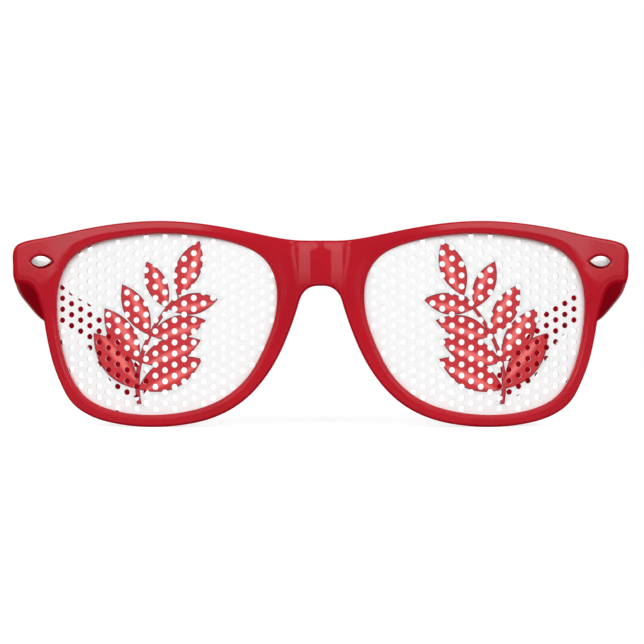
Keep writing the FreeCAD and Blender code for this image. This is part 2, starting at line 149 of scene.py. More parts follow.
class LensSizes(bpy.types.PropertyGroup):
    """Sizes of the perforated lens sheets."""
    sheet: length_property("Sheet", "Thickness of the lens sheet", 0.8)
    setback: length_property("Setback", "Depth of the lens behind the front's face", 1.5)
    groove: length_property("Groove", "Depth of the groove that holds the lens", 0.9)
    hole_diameter: length_property("Hole Diameter", "Diameter of the lens holes", 1.38)
    row_step: length_property("Row Step", "Distance between holes in a column", 2.575)
    column_step: length_property("Column Step", "Distance between columns of holes", 2.25)
    margin: length_property("Margin", "Plain width left along the lens's edge", 0.5)
    hole_sides: IntProperty(
        name="Hole Sides", description="Straight sides of each hole", default=18, min=8, max=32)


class TempleSizes(bpy.types.PropertyGroup):
    """Sizes of the temples."""
    butt_thickness: length_property("Butt Thickness", "Thickness at the hinge", 5)
    bend_thickness: length_property("Bend Thickness", "Thickness at the ear", 3.6)
    tip_length: length_property("Tip Length", "Length behind the ear bend", 48)
    tip_curve_radius: length_property("Tip Curve Radius", "Radius of the tip seen from above", 120)
    toe_in: angle_property("Toe In", "Turn of the temple towards the head", 2)
    edge_round: length_property("Edge Round", "Rounding of the temple's edges", 1)
    butt_flare: length_property("Butt Flare", "How far the butt's outer side swells", 0.8)


class FinishColours(bpy.types.PropertyGroup):
    """Colours of the finishes."""
    frame_red: colour_property("Frame Red", "Moulded plastic", 0.46, 0.004, 0.0145)
    film_white: colour_property("Film White", "Front of the lens sheet", 0.9, 0.905, 0.905)
    film_back: colour_property("Film Back", "Inner face of the lens sheet", 0.02, 0.02, 0.022)
    print_red: colour_property("Print Red", "Leaves of the print", 0.56, 0.012, 0.02)
    print_dark: colour_property("Print Dark", "Edges of the print's leaves", 0.22, 0.0, 0.012)
    print_pink: colour_property("Print Pink", "Light parts of the print's leaves", 0.9, 0.17, 0.16)
    stud_silver: colour_property("Stud Silver", "Studs on the end pieces", 0.92, 0.91, 0.89)
    hinge_steel: colour_property("Hinge Steel", "Hinge leaves and barrels", 0.6, 0.6, 0.61)


class SmoothLine:
    """A smooth curve through points in a plane, measured along its length."""
    per_span = 48

    def __init__(self, points, closed):
        points = np.asarray(points, float)
        count = len(points)
        self.closed = closed
        self.count = count
        ahead = np.roll(points, -1, axis=0)
        spans = np.linalg.norm(ahead - points, axis=1)
        matrix = np.zeros((count, count))
        right = np.zeros((count, 2))
        for k in range(count):
            if not closed and k in (0, count - 1):
                matrix[k, k] = 1
                continue
            before, after = spans[k - 1], spans[k]
            matrix[k, k - 1] += before
            matrix[k, k] += 2 * (before + after)
            matrix[k, (k + 1) % count] += after
            right[k] = 6 * ((ahead[k] - points[k]) / after - (points[k] - points[k - 1]) / before)
        bends = np.linalg.solve(matrix, right)
        bends_ahead = np.roll(bends, -1, axis=0)
        share = (np.arange(self.per_span) / self.per_span)[:, None]
        rest = 1 - share
        dense = []
        for k in range(count if closed else count - 1):
            curved = (rest ** 3 - rest) * bends[k] + (share ** 3 - share) * bends_ahead[k]
            dense.append(rest * points[k] + share * ahead[k] + spans[k] ** 2 / 6 * curved)
        dense.append(points[:1] if closed else points[-1:])
        self.dense = np.vstack(dense)
        steps = np.linalg.norm(np.diff(self.dense, axis=0), axis=1)
        self.lengths = np.concatenate([[0], np.cumsum(steps)])
        self.total = self.lengths[-1]
        self.marks = self.lengths[::self.per_span]
        middle = self.dense.mean(axis=0)
        turn = np.cross(self.dense[:-1] - middle, np.diff(self.dense, axis=0)).sum()
        self.outward = 1 if turn > 0 else -1
        self.tree = KDTree(len(self.dense))
        for index, point in enumerate(self.dense):
            self.tree.insert((*point, 0), index)
        self.tree.balance()

    def mark(self, count):
        """How far along the curve a point lies, by its count, which may be a fraction."""
        rounds = math.floor(count / self.count) if self.closed else 0
        inside = np.interp(count - rounds * self.count, np.arange(len(self.marks)), self.marks)
        return rounds * self.total + inside

    def stretch(self, start, end, shares):
        """Places at shares of the way from one count to another."""
        return self.mark(start) + (self.mark(end) - self.mark(start)) * shares

    def at(self, places):
        if self.closed:
            places = np.mod(places, self.total)
        return np.stack([np.interp(places, self.lengths, self.dense[:, axis]) for axis in (0, 1)], axis=-1)

    def normals(self, places):
        """Normals that point out of the curve's inside."""
        step = self.total / len(self.dense)
        along = self.at(places + step) - self.at(places - step)
        along /= np.linalg.norm(along, axis=-1, keepdims=True)
        return np.stack([along[..., 1], -along[..., 0]], axis=-1) * self.outward

    def away(self, points):
        """How far each point is from the curve, how much the curve there faces up, and where along it."""
        flat = points.reshape(-1, 2)
        nearest = np.array([self.tree.find((*point, 0))[1] for point in flat])
        best = np.full(len(flat), np.inf)
        last = len(self.dense) - 1
        for step in (-1, 0):
            start = nearest + step
            start = np.mod(start, last) if self.closed else np.clip(start, 0, last - 1)
            foot = self.dense[start]
            span = self.dense[start + 1] - foot
            share = np.clip(((flat - foot) * span).sum(1) / (span ** 2).sum(1), 0, 1)
            best = np.minimum(best, np.linalg.norm(foot + span * share[:, None] - flat, axis=1))
        places = self.lengths[nearest]
        up = self.normals(places)[:, 1]
        return [values.reshape(points.shape[:-1]) for values in (best, up, places)]


def ease(value, low, high):
    """Goes smoothly from 0 at low to 1 at high."""
    share = np.clip((value - low) / (high - low), 0, 1)
    return share * share * (3 - 2 * share)


def soft_over(value, width):
    """The value where it is positive and nothing elsewhere, with a soft start this wide."""
    return (value + np.sqrt(value ** 2 + width ** 2)) / 2


def roll(distance, radius):
    """How far a round edge falls away at a distance from it."""
    inside = np.clip(radius - distance, 0, radius)
    return radius - np.sqrt(radius ** 2 - inside ** 2)


def roll_steps(radius, count):
    """Distances from a round edge at even turns of its rounding, from the edge inwards."""
    return radius * (1 - np.cos(np.linspace(0, math.pi / 2, count)))


def rows_across(near, far, count):
    """Rows of points from the near rows to the far ones, with even rows between the two."""
    shares = np.linspace(0, 1, count + 2)[1:-1]
    between = [near[-1] + (far[-1] - near[-1]) * share for share in shares]
    return np.stack(near + between + far[::-1], axis=1)


def placed(shares, centre, sizes):
    """Points at shares of two sizes from a centre, across and up."""
    return [(centre[0] + sizes[0] * across, centre[1] + sizes[1] * up) for across, up in shares]


def lens_centre(sizes):
    return Vector((sizes.lens_gap / 2 + sizes.lens_width / 2, 0, sizes.rim_width + sizes.lens_height / 2))


def front_points(sizes):
    """Points of the front's half outline, across and up."""
    centre = lens_centre(sizes)
    half_gap = sizes.lens_gap / 2
    outer_x = half_gap + sizes.lens_width
    half_height = sizes.lens_height / 2 + sizes.rim_width
    middle = ((0, centre.z), (half_gap, half_height))
    lens = ((centre.x, centre.z), (sizes.lens_width / 2 + sizes.rim_width, half_height))
    end = ((outer_x, centre.z + sizes.end_piece_rise), (front_high.x - outer_x, sizes.end_piece_height / 2))
    return (placed(BRIDGE_TOP_SHARES, *middle) + placed(BROW_SHARES, *lens)
            + placed(END_PIECE_SHARES, *end) + placed(RIM_SHARES, *lens) + placed(NOSE_SHARES, *middle))


def front_outline(sizes):
    half = front_points(sizes)
    return SmoothLine(half + [(-x, z) for x, z in reversed(half[1:-1])], True)


def opening_outline(sizes, grow):
    """A lens opening's outline, grown by a width."""
    centre = lens_centre(sizes)
    half_sizes = (sizes.lens_width / 2 + grow, sizes.lens_height / 2 + grow)
    return SmoothLine(placed(OPENING_SHARES, (centre.x, centre.z), half_sizes), True)


BRIDGE_FLAT_SHARE = 0.8


def flat_half(sizes):
    """Half width of the straight stretch of the front's curve, at the bridge."""
    return sizes.lens_gap * BRIDGE_FLAT_SHARE / 2


def plan_y(sizes, x, setback):
    """Depth of a point that lies this far behind the front's curved face."""
    beyond = np.maximum(np.abs(x) - flat_half(sizes), 0)
    arc_y = front_low.y + sizes.curve_radius
    return arc_y - np.sqrt((sizes.curve_radius - setback) ** 2 - beyond ** 2)


def link_object(name, data):
    piece = bpy.data.objects.new(name, data)
    bpy.context.scene.collection.objects.link(piece)
    return piece


def mesh_object(name, points, faces):
    mesh = bpy.data.meshes.new(name)
    mesh.from_pydata([tuple(point) for point in points], [], faces)
    return link_object(name, mesh)


SHARP_ANGLE = math.radians(50)
DOUBLE_DISTANCE = 0.002 * MM


def close_up(piece, finishes):
    """Sets the faces' finishes, joins doubled points, turns faces outwards and shades up to an angle."""
    piece.data.polygons.foreach_set("material_index", finishes)
    shell = bmesh.new()
    shell.from_mesh(piece.data)
    bmesh.ops.remove_doubles(shell, verts=shell.verts, dist=DOUBLE_DISTANCE)
    bmesh.ops.recalc_face_normals(shell, faces=shell.faces)
    shell.to_mesh(piece.data)
    shell.free()
    piece.data.shade_smooth()
    piece.data.set_sharp_from_angle(angle=SHARP_ANGLE)


def dress(piece, body, materials, node):
    """Gives a finished piece its materials and its body, and hides the CAD node that it stands for."""
    for material in materials:
        piece.data.materials.append(material)
    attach(piece, body)
    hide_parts(node)


# The front moulding

COLUMN_STEP = 0.75 * MM
FINE_COLUMN_STEP = 0.36 * MM
FACE_ROWS = 30
BACK_ROWS = 12
EDGE_ROLL_ROWS = 7
OPENING_ROLL_ROWS = 4
LIP_ROWS = 9
CORNER_EASE = 5 * MM
BACK_ROUND = 0.7 * MM
WALL_DRAFT = 0.3 * MM
WALL_SHARES = (0.25, 0.5, 0.75)
# Rows of the face's rounding, next to the wall, that are matt like the wall.
MATT_ROWS = 5
OPENING_BACK_ROUND = 0.4 * MM
# Places of the front's finishes in its list of materials.
FACE_FINISH, WALL_FINISH, BACK_FINISH = 0, 1, 2

BEVEL_SHARE = 0.58
BROW_BEVEL = 5.5 * MM
BROW_START = (10 * MM, 21 * MM)
END_BEVEL = 11 * MM
END_START = (56 * MM, 66 * MM)
OPENING_BEVEL_SHARE = 0.45
OPENING_BEVEL_REACH = 2.6 * MM
END_OPENING_BEVEL_REACH = 1.5 * MM
LOWER_RIM_LEAN_SHARE = 0.35
BEVEL_SOFTNESS = 0.45 * MM
LIP_SLOPE = 0.4 * MM
UPPER_ROUND_GAIN = 0.8
# How much an opening's edge faces up where its slope steepens, its rounding grows and its lip sets in.
STEEP_FACING = (-0.6, 0.2)
ROUND_FACING = (0, 0.6)
LIP_FACING = (0.35, -0.15)
# Beside an opening the face stays ahead of the lens sheet.
COVER_REACH = 1 * MM
COVER_DEPTH = 1.42 * MM

PAD_TOP_HALF = 6.7 * MM
PAD_BOTTOM_HALF = 5.3 * MM
# How far below and above the bridge the lines of its pad's edges run on, in bridge heights.
PAD_EDGE_SHARES = (-0.5, 1.2)
PAD_FLAT_HALF = 2.4 * MM
PAD_LEAN_END = 5.0 * MM
PAD_DROP = 0.48 * MM
PAD_SOFTNESS = 0.12 * MM
PAD_STEP = 0.12 * MM
PAD_STEP_WIDTH = 0.7 * MM
PAD_TOP_BAND = 1.7 * MM
PAD_BAND_EASE = 0.5 * MM
PAD_TOP_FLAT_HALF = 0.8 * MM
BRIDGE_LEAN_EASE = 5 * MM
BRIDGE_FORWARD = 0.65 * MM
BRIDGE_FADE = (8 * MM, 32 * MM)
BRIDGE_FADE_DOWN = 20 * MM

SEAT_DEPTH = 0.75 * MM
SEAT_GAP = 0.3 * MM
SEAT_SLOPE = 0.2 * MM

LUG_INNER_X = 61.9 * MM
LUG_LOW_Z = 32.25 * MM
LUG_RAMP = 1.1 * MM
LEAF_STAND = 0.1 * MM

NOSE_PAD_HALF_LENGTH = 8.6 * MM
NOSE_PAD_HALF_WIDTH = 2.3 * MM
NOSE_PAD_DEPTH = 5.2 * MM
NOSE_PAD_X = 8.75 * MM
NOSE_PAD_LEAN = math.atan2(10.9, -4.1)
NOSE_PAD_POWER = 0.8


def bridge_relief(x, z, sizes):
    """The bridge leans back; its raised pad has a bevelled top, sloping sides and a step at each edge."""
    half_height = sizes.lens_height / 2 + sizes.rim_width
    top = lens_centre(sizes).z + half_height * BRIDGE_TOP_SHARES[0][1]
    bottom = lens_centre(sizes).z + half_height * NOSE_SHARES[-1][1]
    rise = np.clip((z - bottom) / (top - bottom), *PAD_EDGE_SHARES)
    edge = PAD_BOTTOM_HALF + (PAD_TOP_HALF - PAD_BOTTOM_HALF) * rise
    off_pad = ease(x, edge - PAD_STEP_WIDTH / 2, edge + PAD_STEP_WIDTH / 2)
    band_z = top - PAD_TOP_BAND
    flat = PAD_FLAT_HALF + (PAD_TOP_FLAT_HALF - PAD_FLAT_HALF) * ease(z, band_z - PAD_BAND_EASE, band_z)
    lean = PAD_DROP / (PAD_LEAN_END - flat)
    sides = lean * (soft_over(x - flat, PAD_SOFTNESS) - soft_over(x - PAD_LEAN_END, PAD_SOFTNESS))
    band = math.tan(sizes.brow_lean) * soft_over(z - band_z, PAD_SOFTNESS) * (1 - off_pad)
    back = math.tan(sizes.bridge_lean) * soft_over(z - bottom, BRIDGE_LEAN_EASE)
    near = ease(z, bottom - BRIDGE_FADE_DOWN, bottom)
    relief = near * (sides + PAD_STEP * off_pad - BRIDGE_FORWARD) + back
    return relief * (1 - ease(x, *BRIDGE_FADE)) + band


def seat_relief(x, z, sizes):
    """The recess that the stud sits in: two arcs that meet in points."""
    turn = math.asin((stud_high.x - flat_half(sizes)) / sizes.curve_radius)
    half_length = sizes.stud_length / 2 * math.cos(turn)
    half_width = (stud_high.z - stud_low.z) / 2 + SEAT_GAP
    across = x - (stud_high.x - half_length)
    half_length += SEAT_GAP
    arc = (half_length ** 2 + half_width ** 2) / (2 * half_width)
    up = np.abs(z - (stud_low.z + stud_high.z) / 2) + arc - half_width
    inside = arc - np.hypot(across, up)
    return SEAT_DEPTH * ease(inside, -SEAT_SLOPE, SEAT_SLOPE / 2)


def edge_round(places, outline, sizes):
    """Rounding of the outside edge at places along the outline; both halves are alike."""
    half = np.minimum(places, outline.total - places)
    marks = [outline.mark(count) for count, _ in EDGE_ROUND_SHARES]
    return sizes.outer_round * np.interp(half, marks, [share for _, share in EDGE_ROUND_SHARES])


def below_brow(points, outline):
    """How far points lie below the brow's top line, which runs on straight past the end piece's corner."""
    line = outline.dense[:BROW_END * outline.per_span + 1]
    x, z = points[..., 0], points[..., 1]
    slope = (line[-1, 1] - line[-2, 1]) / (line[-1, 0] - line[-2, 0])
    return np.interp(x, line[:, 0], line[:, 1]) + slope * np.maximum(x - line[-1, 0], 0) - z


def face_setback(points, outline, opening, sizes):
    """How far the front's modelled face lies behind its plain curve at these points."""
    from_edge, _, places = outline.away(points)
    from_opening, opening_up, _ = opening.away(points)
    x, z = points[..., 0], points[..., 1]
    width = from_edge + from_opening
    at_end = ease(x, *END_START)
    bevel = np.minimum(width * BEVEL_SHARE, BROW_BEVEL)
    bevel += (END_BEVEL - bevel) * at_end
    lean = math.tan(sizes.brow_lean) * ease(x, *BROW_START)
    lean += (math.tan(sizes.end_lean) - lean) * at_end
    setback = lean * soft_over(bevel - below_brow(points, outline), BEVEL_SOFTNESS)
    reach = OPENING_BEVEL_REACH + (END_OPENING_BEVEL_REACH - OPENING_BEVEL_REACH) * at_end
    sink = np.minimum(width * OPENING_BEVEL_SHARE, reach)
    steep = LOWER_RIM_LEAN_SHARE + (1 - LOWER_RIM_LEAN_SHARE) * ease(opening_up, *STEEP_FACING)
    setback += steep * math.tan(sizes.opening_lean) * soft_over(sink - from_opening, BEVEL_SOFTNESS)
    inner, outer = sizes.lip_width - LIP_SLOPE / 2, sizes.lip_width + LIP_SLOPE / 2
    setback += sizes.lip_depth * (1 - ease(from_opening, inner, outer)) * ease(opening_up, *LIP_FACING)
    setback += bridge_relief(x, z, sizes) + seat_relief(x, z, sizes)
    opening_round = sizes.opening_round * (1 + UPPER_ROUND_GAIN * ease(opening_up, *ROUND_FACING))
    setback += roll(from_edge, edge_round(places, outline, sizes)) + roll(from_opening, opening_round)
    return np.where(from_opening < COVER_REACH, np.minimum(setback, COVER_DEPTH), setback)


def back_depth(points, outline, opening, sizes):
    """Depth of the front's back: rims, hinge lug and moulded nose pad, with round edges."""
    from_edge, _, _ = outline.away(points)
    from_opening, _, _ = opening.away(points)
    x, z = points[..., 0], points[..., 1]
    depth = plan_y(sizes, x, sizes.thickness)
    lug = (ease(x, LUG_INNER_X - LUG_RAMP, LUG_INNER_X + LUG_RAMP)
           * ease(z, LUG_LOW_Z - LUG_RAMP / 2, LUG_LOW_Z + LUG_RAMP / 2))
    depth += lug * (front_high.y - LEAF_STAND - depth)
    cosine, sine = math.cos(NOSE_PAD_LEAN), math.sin(NOSE_PAD_LEAN)
    pad_x, pad_z = x - NOSE_PAD_X, z - lens_centre(sizes).z
    along = pad_x * cosine + pad_z * sine
    across = pad_z * cosine - pad_x * sine
    off = (along / NOSE_PAD_HALF_LENGTH) ** 2 + (across / NOSE_PAD_HALF_WIDTH) ** 2
    depth += NOSE_PAD_DEPTH * np.clip(1 - off, 0, 1) ** NOSE_PAD_POWER
    return depth - roll(from_edge, BACK_ROUND) - roll(from_opening, OPENING_BACK_ROUND)


def rung_ends(outline, opening, grown, sizes):
    """Facing points of the opening and the outline, with the ways into the material from each."""
    stretches = []
    arch_z = outline.at(outline.mark(RUNG_PAIRS[-2][0]))[1]
    top_z = outline.at(outline.mark(0))[1]
    for (out_a, in_a), (out_b, in_b) in zip(RUNG_PAIRS, RUNG_PAIRS[1:]):
        middle = out_a == RUNG_PAIRS[-2][0]
        fine = any(low <= out_a < high for low, high in FINE_STRETCHES)
        step = FINE_COLUMN_STEP if fine else COLUMN_STEP
        length = top_z - arch_z if middle else outline.mark(out_b) - outline.mark(out_a)
        count = math.ceil(length / step)
        share = np.arange(count) / count
        places = opening.stretch(in_a, in_b, share)
        if middle:
            z = arch_z + length * share
            edge = np.stack([np.zeros_like(z), z], axis=-1)
            low = np.clip(1 - (z - arch_z) / CORNER_EASE, 0, 1)
            high = np.clip(1 - (top_z - z) / CORNER_EASE, 0, 1)
            inward = np.stack([np.ones_like(z), low - high], axis=-1)
            along = np.zeros_like(z)
        else:
            along = outline.stretch(out_a, out_b, share)
            edge = outline.at(along)
            inward = -outline.normals(along)
            inward[:, 0] += np.clip(1 - edge[:, 0] / CORNER_EASE, 0, 1)
        stretches.append({
            "opening": opening.at(places),
            "into": opening.normals(places),
            "floor": grown.at(grown.stretch(in_a, in_b, share)),
            "edge": edge,
            "in": inward,
            "round": edge_round(along, outline, sizes)[:, None],
            "middle": np.full(count, middle),
        })
    return {name: np.concatenate([stretch[name] for stretch in stretches]) for name in stretches[0]}


def face_rows(ends, opening_steps, outer_round, rows):
    """Points across the front's face in each column, from the opening's edge to the outside edge."""
    near = [ends["opening"] + ends["into"] * step for step in opening_steps]
    far = [ends["edge"] + ends["in"] * outer_round * step for step in roll_steps(1, EDGE_ROLL_ROWS)]
    return rows_across(near, far, rows)


def half_front(sizes, lens_sizes):
    """Points round the left half of the front by column, its middle columns and the rows of its wall."""
    outline = front_outline(sizes)
    opening = opening_outline(sizes, 0)
    grown = opening_outline(sizes, lens_sizes.groove)
    ends = rung_ends(outline, opening, grown, sizes)
    lip_steps = np.linspace(sizes.opening_round, sizes.lip_width + LIP_SLOPE / 2, LIP_ROWS)[1:]
    face_steps = np.concatenate([roll_steps(sizes.opening_round, OPENING_ROLL_ROWS), lip_steps])
    face = face_rows(ends, face_steps, ends["round"], FACE_ROWS)
    edge = ends["edge"]
    draft = WALL_DRAFT * np.clip(edge[:, :1] / CORNER_EASE, 0, 1) * ~ends["middle"][:, None]
    foot = edge + ends["in"] * draft
    back_steps = roll_steps(OPENING_BACK_ROUND, OPENING_ROLL_ROWS)
    back = face_rows(dict(ends, edge=foot), back_steps, BACK_ROUND, BACK_ROWS)[:, ::-1]
    face_y = plan_y(sizes, face[..., 0], face_setback(face, outline, opening, sizes))
    back_y = back_depth(back, outline, opening, sizes)

    def solid(points, depth):
        return np.stack([points[..., 0], depth, points[..., 1]], axis=-1)

    wall = []
    for share in WALL_SHARES:
        depth = face_y[:, -1] + (back_y[:, 0] - face_y[:, -1]) * share
        wall.append(solid(edge + (foot - edge) * share, depth))
    groove = []
    ahead, behind = lens_sizes.setback, lens_sizes.setback + lens_sizes.sheet
    for name, setback in (("opening", behind), ("floor", behind), ("floor", ahead), ("opening", ahead)):
        groove.append(solid(ends[name], plan_y(sizes, ends[name][:, 0], setback)))
    grid = np.concatenate([solid(face, face_y), np.stack(wall, axis=1), solid(back, back_y),
                           np.stack(groove, axis=1)], axis=1)
    wall_span = range(face.shape[1] - 1, face.shape[1] + len(wall))
    return grid, ends["middle"], wall_span


def front_moulding(sizes, lens_sizes):
    """The front's mesh: one half and its mirror image, with finishes for its face, wall and back."""
    grid, middle, wall_span = half_front(sizes, lens_sizes)
    columns, around = grid.shape[:2]
    points = np.concatenate([grid.reshape(-1, 3), grid.reshape(-1, 3) * (-1, 1, 1)])
    faces, finishes = [], []
    for column in range(columns):
        here, beside = column * around, (column + 1) % columns * around
        for row in range(around):
            if middle[column] and row in wall_span:
                continue
            below = (row + 1) % around
            quad = [here + row, here + below, beside + below, beside + row]
            faces.append(quad)
            faces.append([corner + columns * around for corner in reversed(quad)])
            matt = row > wall_span[0] - MATT_ROWS and not middle[column]
            finish = WALL_FINISH if matt else FACE_FINISH
            finishes += 2 * [BACK_FINISH if row > wall_span[-1] else finish]
    piece = mesh_object("front_moulding", points, faces)
    close_up(piece, finishes)
    return piece


# Temples

TEMPLE_COLUMN_STEP = 1.2 * MM
TEMPLE_ROWS = 12
TEMPLE_ROLL_ROWS = 5
TEMPLE_CROWN = 0.25 * MM
TEMPLE_CROWN_REACH = 3 * MM
BUTT_FLARE_LENGTH = 30 * MM
# Where the temple is less high than this many edge roundings, the rows of its rounding close up.
NARROW_ROUNDS = 3


def temple_plan(y, sizes):
    """Outer and inner faces of the left temple seen from above: straight, then an arc at the ear."""
    bend_y = temple_high.y - sizes.tip_length
    outer_bend_x = temple_high.x - math.tan(sizes.toe_in) * (bend_y - temple_low.y)
    inner_x = temple_high.x - sizes.butt_thickness
    inner_bend_x = outer_bend_x - sizes.bend_thickness
    inner_toe = math.atan((inner_x - inner_bend_x) / (bend_y - temple_low.y))
    outer = (temple_high.x, outer_bend_x, sizes.toe_in)
    inner = (inner_x, inner_bend_x, inner_toe)
    faces = []
    for start_x, bend_x, turn in (outer, inner):
        straight = start_x - math.tan(turn) * (y - temple_low.y)
        centre_x = bend_x - sizes.tip_curve_radius * math.cos(turn)
        centre_y = bend_y - sizes.tip_curve_radius * math.sin(turn)
        reach = np.clip(y - centre_y, -sizes.tip_curve_radius, sizes.tip_curve_radius)
        curved = centre_x + np.sqrt(sizes.tip_curve_radius ** 2 - reach ** 2)
        faces.append(np.where(y < bend_y, straight, curved))
    return faces


def facing_places(outline):
    """Places along a temple's top and bottom edges that face each other, column by column."""
    columns = []
    for pair, pair_ahead in zip(TEMPLE_PAIRS, TEMPLE_PAIRS[1:]):
        start = np.array([outline.mark(count) for count in pair])
        span = np.array([outline.mark(count) for count in pair_ahead]) - start
        count = math.ceil(np.abs(span).max() / TEMPLE_COLUMN_STEP)
        columns += [start + span * share for share in np.arange(count) / count]
    columns.append([outline.mark(count) for count in TEMPLE_PAIRS[-1]])
    return np.transpose(columns)


def temple_side(outline, sizes):
    """Points over the temple seen from the side, column by column, back and up."""
    tops, bottoms = facing_places(outline)
    top, bottom = outline.at(tops), outline.at(bottoms)
    into_top, into_bottom = -outline.normals(tops), -outline.normals(bottoms)
    into_top[0] = (0, -1)
    into_bottom[0] = (0, 1)
    height = np.linalg.norm(bottom - top, axis=1, keepdims=True)
    reach = np.minimum(1, height / (NARROW_ROUNDS * sizes.edge_round))
    steps = roll_steps(sizes.edge_round, TEMPLE_ROLL_ROWS)
    near = [top + into_top * step * reach for step in steps]
    far = [bottom + into_bottom * step * reach for step in steps]
    points = rows_across(near, far, TEMPLE_ROWS)
    points[0, :, 0] = temple_low.y
    tip = outline.at(np.linspace(tops[-1], bottoms[-1], points.shape[1]))
    return np.concatenate([points, [points[-1] + (tip - points[-1]) * share for share in TIP_SHARES]])


def temple_mesh(name, side, sizes):
    """One temple; its outer side has the first finish, and its inner side and ends have the second."""
    lengths = (temple_high.y - temple_low.y, temple_high.z)
    outline = SmoothLine(placed(TEMPLE_SIDE_SHARES, (temple_low.y, 0), lengths), False)
    points = temple_side(outline, sizes)
    from_edge, _, _ = outline.away(points)
    fall = roll(from_edge, sizes.edge_round)
    crown = TEMPLE_CROWN * (1 - ease(from_edge, 0, TEMPLE_CROWN_REACH))
    y, z = points[..., 0], points[..., 1]
    outer_x, inner_x = temple_plan(y, sizes)
    outer_x = outer_x + sizes.butt_flare * (1 - ease(y, temple_low.y, temple_low.y + BUTT_FLARE_LENGTH))
    outer = np.stack([side * (outer_x - fall - crown), y, z], axis=-1)
    inner = np.stack([side * (inner_x + LEAF_STAND + fall), y, z], axis=-1)
    grid = np.concatenate([outer, inner[:, ::-1]], axis=1)
    columns, around = grid.shape[:2]
    last_outer = around // 2 - 1
    faces, inside = [], []
    for here in range(0, (columns - 1) * around, around):
        beside = here + around
        for row in range(around):
            below = (row + 1) % around
            faces.append([here + row, beside + row, beside + below, here + below])
            inside.append(int(min(row, below) >= last_outer))
    for here in (0, (columns - 1) * around):
        last = here + around - 1
        for row in range(last_outer):
            faces.append([here + row, here + row + 1, last - row - 1, last - row])
            inside.append(1)
    piece = mesh_object(name, grid.reshape(-1, 3), faces)
    close_up(piece, inside)
    return piece


# Nodes

class Wire:
    """A node's socket that takes part in plain expressions."""

    def __init__(self, maker, socket):
        self.maker = maker
        self.socket = socket

    def maths(self, operation, *others):
        return self.maker.node("Math", {"operation": operation}, self, *others)

    def reflected(self, operation, other):
        return self.maker.node("Math", {"operation": operation}, other, self)

    def __add__(self, other):
        return self.maths("ADD", other)

    def __radd__(self, other):
        return self.reflected("ADD", other)

    def __sub__(self, other):
        return self.maths("SUBTRACT", other)

    def __rsub__(self, other):
        return self.reflected("SUBTRACT", other)

    def __mul__(self, other):
        return self.maths("MULTIPLY", other)

    def __rmul__(self, other):
        return self.reflected("MULTIPLY", other)

    def __truediv__(self, other):
        return self.maths("DIVIDE", other)

    def __abs__(self):
        return self.maths("ABSOLUTE")

    def largest(self, other):
        return self.maths("MAXIMUM", other)

    def smallest(self, other):
        return self.maths("MINIMUM", other)

    def between(self, low, high, start=0.0, end=1.0):
        """Goes softly from start at low to end at high."""
        return self.maker.node("MapRange", {"interpolation_type": "SMOOTHSTEP"}, self, low, high, start, end)


class NodeMaker:
    """Adds nodes to a tree and fills their sockets with plain values or wires."""
    families = ("ShaderNode",)

    def node(self, kind, settings, *values, output=0, **named):
        """A node of this kind, its settings first, then its sockets by order or name; None skips one."""
        family = next(family for family in self.families if hasattr(bpy.types, family + kind))
        node = self.tree.nodes.new(family + kind)
        for label, setting in settings.items():
            setattr(node, label, setting)
        sockets = [(node.inputs[index], value) for index, value in enumerate(values) if value is not None]
        sockets += [(node.inputs[label.replace("_", " ")], value) for label, value in named.items()]
        for socket, value in sockets:
            for one in value if isinstance(value, list) else [value]:
                if isinstance(one, Wire):
                    self.tree.links.new(one.socket, socket)
                else:
                    socket.default_value = one
        return Wire(self, node.outputs[output])

    def vector(self, operation, first, second, output=0):
        return self.node("VectorMath", {"operation": operation}, first, second, output=output)


class SheetNodes(NodeMaker):
    """A geometry tree with named inputs."""
    families = ("GeometryNode", "ShaderNode")

    def __init__(self, name, inputs):
        self.tree = bpy.data.node_groups.new(name, "GeometryNodeTree")
        self.identifiers = {}
        for kind, labels in inputs.items():
            for label in labels:
                socket = self.tree.interface.new_socket(name=label, in_out="INPUT", socket_type=kind)
                self.identifiers[label] = socket.identifier
        self.tree.interface.new_socket(name="Geometry", in_out="OUTPUT", socket_type="NodeSocketGeometry")
        self.entry = self.tree.nodes.new("NodeGroupInput")
        self.exit = self.tree.nodes.new("NodeGroupOutput")

    def value(self, label):
        return Wire(self, self.entry.outputs[label])

    def close(self, geometry):
        self.tree.links.new(geometry.socket, self.exit.inputs[0])
        return self


# Lens sheets

LENS_EDGE_POINTS = 180
LENS_EDGE_CLEARANCE = 0.1 * MM
SHEET_JOIN_DISTANCE = 0.001 * MM
# How far the punched pattern lies off each lens's centre, across and up.
PATTERN_SHIFTS = {"left": (-1.3 * MM, -0.25 * MM), "right": (0.05 * MM, -0.31 * MM)}
# Every other column of holes is moved up by this share of the step between rows.
STAGGER_SHARE = 0.5
# Faces whose normals point ahead or back by more than this are the sheet's front or back.
FACING_LIMIT = 0.5
UP = (0.0, 0.0, 1.0)
DOWN = (0.0, 0.0, -1.0)

LENS_INPUTS = {
    "NodeSocketGeometry": ["Outline"],
    "NodeSocketVector": ["Centre"],
    "NodeSocketInt": ["Columns", "Rows", "Hole Sides"],
    "NodeSocketFloat": ["Column Step", "Row Step", "Hole Radius", "Margin", "Sheet", "Setback",
                        "Curve Radius", "Flat Half", "Arc Depth"],
    "NodeSocketMaterial": ["Front", "Back", "Edge"],
}


def outline_curve(name, line, side):
    """A closed poly curve in the XY plane."""
    curve = bpy.data.curves.new(name, "CURVE")
    curve.dimensions = "3D"
    spline = curve.splines.new("POLY")
    places = np.linspace(0, line.total, LENS_EDGE_POINTS, endpoint=False)
    spline.points.add(len(places) - 1)
    for point, (x, z) in zip(spline.points, line.at(places)):
        point.co = (x * side, z, 0, 1)
    spline.use_cyclic_u = True
    return link_object(name, curve)


